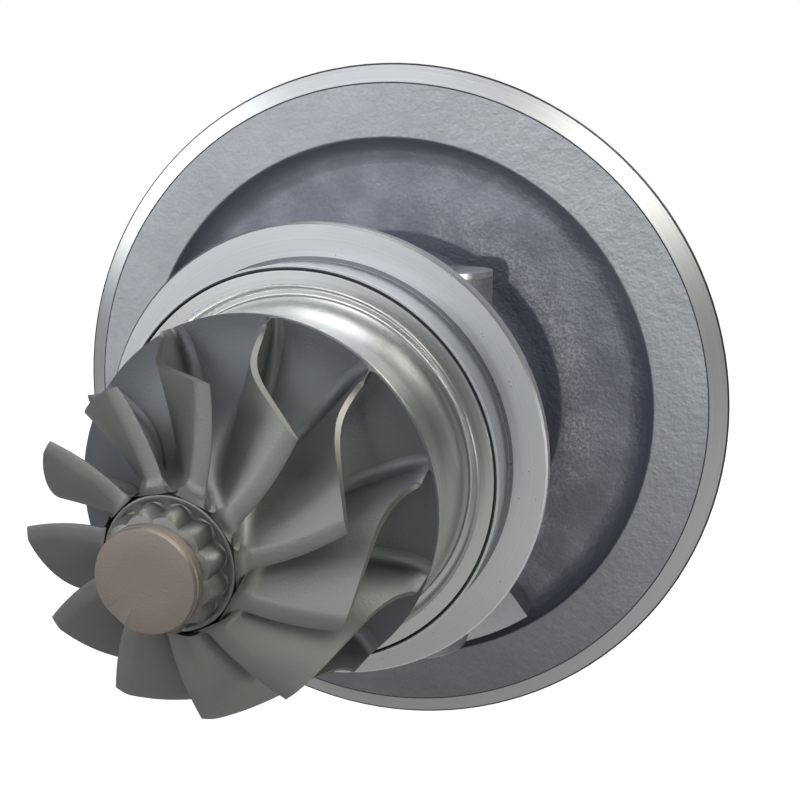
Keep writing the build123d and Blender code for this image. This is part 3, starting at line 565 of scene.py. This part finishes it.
# Nickel alloy, investment cast and blasted: matte grey with an olive cast, finely grained. The cap's
# face is turned and has browned with heat.
def castNickelAlloy():
    material, tree, shader, place, radius, y = newMaterial("castNickelAlloy")
    cloud = addNode(tree, "TexNoise", {"Vector": place, "Scale": 1 / (9 * mm), "Detail": 3.0})
    grain = addNode(tree, "TexNoise", {"Vector": place, "Scale": 1 / (0.45 * mm), "Detail": 2.0})
    # Painted shade: darker towards the back disc, between the blades
    gapShade = addNode(tree, "MapRange", {"Value": y, "From Min": -120 * mm, "From Max": -99 * mm})
    onCap = addNode(tree, "Math", {0: y, 1: -137 * mm}, operation="LESS_THAN")
    tone = addNode(tree, "Mix", {0: cloud, 6: "#76797a", 7: "#8c8c86"}, out=2, data_type="RGBA")
    for share, colour in ((gapShade, "#66696c"), (onCap, "#958b82")):
        tone = addNode(tree, "Mix", {0: share, 6: tone, 7: colour}, out=2, data_type="RGBA")
    fill(shader, Metallic=0.75, BaseColor=tone,
         Roughness=addNode(tree, "MapRange", {"Value": cloud, "To Min": 0.42, "To Max": 0.58}),
         Normal=addNode(tree, "Bump", {"Height": grain, "Distance": 0.05 * mm}))
    return material


# The blades' outer edge, ground to size: a little brighter than the casting, with its grain.
def groundEdge():
    material, tree, shader, place, radius, y = newMaterial("groundBladeEdge")
    grain = addNode(tree, "TexNoise", {"Vector": place, "Scale": 1 / (0.5 * mm), "Detail": 2.0})
    fill(shader, BaseColor=linear("#7b7b78"), Metallic=0.9, Roughness=0.48,
         Normal=addNode(tree, "Bump", {"Height": grain, "Distance": 0.02 * mm}))
    return material


# A turned or ground metal: fine rings of two close tones and a highlight stretched across them.
def turnedMetal(name, dark, light, roughness, pitchMm):
    material, tree, shader, place, radius, y = newMaterial(name)
    along = addNode(tree, "Math", {0: radius, 1: y}, operation="ADD")
    rings = addNode(tree, "TexNoise", {"W": along, "Scale": 1 / (pitchMm * mm), "Detail": 2.0},
                    noise_dimensions="1D")
    fill(shader, Metallic=1.0, Roughness=roughness, Anisotropic=0.5, Tangent=roundTangent(tree, place),
         BaseColor=addNode(tree, "Mix", {0: rings, 6: dark, 7: light}, out=2, data_type="RGBA"),
         Normal=addNode(tree, "Bump", {"Height": rings, "Distance": 0.02 * mm}))
    return material


# Aluminium, milled from solid with a ball cutter: bright, with fine scallops along the passages.
def milledAluminium():
    material, tree, shader, place, radius, y = newMaterial("milledAluminium")
    scallops = addNode(tree, "TexWave", {"Vector": place, "Scale": 1 / (6.4 * mm), "Distortion": 2.0,
                                         "Detail": 1.0, "Detail Scale": 0.6}, bands_direction="Y")
    fill(shader, Metallic=1.0, Roughness=0.3,
         BaseColor=addNode(tree, "Mix", {0: scallops, 6: "#c9cbcd", 7: "#d8d9dc"}, out=2, data_type="RGBA"),
         Normal=addNode(tree, "Bump", {"Height": scallops, "Distance": 0.04 * mm}))
    return material


# Moulded sealing rubber: dull black with a faint grain.
def blackRubber():
    material, tree, shader, place, radius, y = newMaterial("blackRubber")
    grain = addNode(tree, "TexNoise", {"Vector": place, "Scale": 1 / (0.4 * mm), "Detail": 2.0})
    fill(shader, BaseColor=linear("#1c1c1d"), Roughness=0.62,
         Normal=addNode(tree, "Bump", {"Height": grain, "Distance": 0.02 * mm}))
    return material


alloy = castNickelAlloy()
dress(["bearing_housing"], castAndTurnedIron())
dress(["heat_shield"], pressedStainless())
dress(["turbine_wheel", "turbine_blades"], alloy)
dress(["compressor_wheel", "compressor_blades"], milledAluminium())
dress(["thrust_bearing", "turbine_bush", "compressor_bush"],
      turnedMetal("turnedBronze", "#a8874e", "#c09e62", 0.34, 0.4))
dress(["rotor_shaft", "thrust_collar", "seal_sleeve", "compressor_nut"],
      turnedMetal("groundSteel", "#8e9093", "#a8aaac", 0.28, 0.35))
dress(["thrust_bearing_screws", "seal_plate_retaining_ring", "turbine_bush_rings", "compressor_bush_rings",
       "turbine_piston_ring", "compressor_piston_ring"],
      turnedMetal("blackenedSpringSteel", "#26272a", "#3a3b3e", 0.42, 0.4))
dress(["oil_baffle"], turnedMetal("zincPlatedSheet", "#a9adb3", "#c2c5c9", 0.36, 0.8))
dress(["seal_plate"], turnedMetal("turnedAluminium", "#b9bcbf", "#d0d2d4", 0.3, 0.4))
dress(["seal_plate_o_ring", "cover_o_ring"], blackRubber())
turbineWheel.data.materials.append(alloy)
turbineWheel.data.materials.append(groundEdge())
print("materials:", len(bpy.data.materials))


# Floor, lights and camera

studio = {
    "floorZ": -0.16,
    "floorHalf": 3.0,
    "floorColour": "#858584",
    "floorLift": 0.84,      # how white the camera sees the floor by the object; it is full white far off
    "liftNear": 0.3,
    "liftFar": 1.0,
    "floorShine": 0.2,      # how much of the white floor and room shows in a reflection
    "roomShine": 0.06,
    "roomLow": (0.03, 0.032, 0.037, 1),
    "roomHigh": (0.025, 0.028, 0.035, 1),
    "aim": (0.0, -0.04, 0.0),
    "lamps": [
        ("keyLight", (0.17, -2.5, 0.07), 0.1, 2.6, "#fffdf8"),
        ("frontLight", (-1.4, -2.1, 0.25), 2.0, 14.6, "#f6f9ff"),
        ("frontHighLight", (-0.2, -2.0, 1.2), 1.0, 9.8, "#f8faff"),
        ("windowLight", (-0.42, -0.9, 1.05), 0.8, 1.7, "#fbfcff"),
        ("leftLight", (-1.7, -0.8, 0.9), 1.0, 10.5, "#fdfdfb"),
        ("rightLight", (0.75, -1.15, 0.95), 0.7, 4.5, "#fffaf2"),
        ("rightLowLight", (1.6, -0.7, -0.03), 0.5, 4.5, "#fffaf4"),
        ("topLight", (0.0, 0.35, 1.1), 0.9, 6.5, "#ffffff"),
        ("backLight", (0.7, 0.5, 0.9), 0.6, 9.0, "#fffaf0"),
    ],
    "cameraPlace": (0.08068, -0.27455, 0.06238),
    "cameraTurn": 15.66,    # degrees, to the left of straight along +Y
    "cameraDip": 12.04,     # degrees below level
    "lensMm": 45.0,
}


# How much of the white backdrop a ray sees: all of it straight from the camera or through glass, a
# named share of it in a reflection on metal, and none for light that spreads.
def backdropSeen(tree, shine):
    seen = addNode(tree, "LightPath", out="Is Camera Ray")
    through = addNode(tree, "LightPath", out="Is Transmission Ray")
    reflected = addNode(tree, "LightPath", out="Is Glossy Ray")
    reflected = addNode(tree, "Math", {0: reflected, 1: shine}, operation="MULTIPLY")
    for share in (through, reflected):
        seen = addNode(tree, "Math", {0: seen, 1: share}, operation="MAXIMUM")
    return seen


# A pale floor, lifted towards white where the camera sees it, so that only the shadow tells.
def buildFloor():
    s = studio
    mesh = bpy.data.meshes.new("studioFloor")
    half = s["floorHalf"]
    corners = [(-half, -half), (half, -half), (half, half), (-half, half)]
    mesh.from_pydata([(x, y, s["floorZ"]) for x, y in corners], [], [(0, 1, 2, 3)])
    floor = bpy.data.objects.new("studioFloor", mesh)
    bpy.context.scene.collection.objects.link(floor)
    material, tree, shader, place, radius, y = newMaterial("paleFloor")
    reach = addNode(tree, "VectorMath", {0: place}, out="Value", operation="LENGTH")
    lift = addNode(tree, "MapRange", {"Value": reach, "From Min": s["liftNear"], "From Max": s["liftFar"],
                                      "To Min": s["floorLift"], "To Max": 1.0})
    lift = addNode(tree, "Math", {0: backdropSeen(tree, s["floorShine"]), 1: lift}, operation="MULTIPLY")
    fill(shader, BaseColor=linear(s["floorColour"]), Roughness=0.9, EmissionColor=(1, 1, 1, 1),
         EmissionStrength=lift)
    mesh.materials.append(material)


# A dim room all round, a little dimmer above, and white where the camera looks past the floor.
def buildWorld():
    world = bpy.data.worlds.new("paleStudio")
    bpy.context.scene.world = world
    world.use_nodes = True
    tree = world.node_tree
    way = addNode(tree, "TexCoord", out="Generated")
    up = addNode(tree, "SeparateXYZ", {0: way}, out="Z")
    height = addNode(tree, "MapRange", {"Value": up, "From Min": -0.35, "From Max": 0.35},
                     interpolation_type="SMOOTHSTEP")
    tone = addNode(tree, "Mix", {0: height, 6: studio["roomLow"], 7: studio["roomHigh"]}, out=2,
                   data_type="RGBA")
    seen = backdropSeen(tree, studio["roomShine"])
    tone = addNode(tree, "Mix", {0: seen, 6: tone, 7: (1, 1, 1, 1)}, out=2, data_type="RGBA")
    tree.links.new(tone, tree.nodes["Background"].inputs["Color"])


# A round soft light that faces the object.
def addLamp(name, place, size, power, colour):
    light = bpy.data.lights.new(name, "AREA")
    light.shape = "DISK"
    light.size = size
    light.energy = power
    light.color = linear(colour)[:3]
    lamp = bpy.data.objects.new(name, light)
    lamp.location = place
    toObject = Vector(studio["aim"]) - Vector(place)
    lamp.rotation_euler = toObject.to_track_quat("-Z", "Y").to_euler()
    bpy.context.scene.collection.objects.link(lamp)


# The photograph's camera, solved from the cartridge's circles.
def addCamera():
    s = studio
    camera = bpy.data.cameras.new("photoCamera")
    camera.lens = s["lensMm"]
    camera.sensor_width = 36.0
    camera.clip_start = 0.01
    view = bpy.data.objects.new("photoCamera", camera)
    view.location = s["cameraPlace"]
    view.rotation_euler = (radians(90 - s["cameraDip"]), 0, radians(s["cameraTurn"]))
    bpy.context.scene.collection.objects.link(view)
    bpy.context.scene.camera = view


buildFloor()
buildWorld()
for lamp in studio["lamps"]:
    addLamp(*lamp)
addCamera()
bpy.context.scene.view_settings.view_transform = "Standard"
print("studio ready")
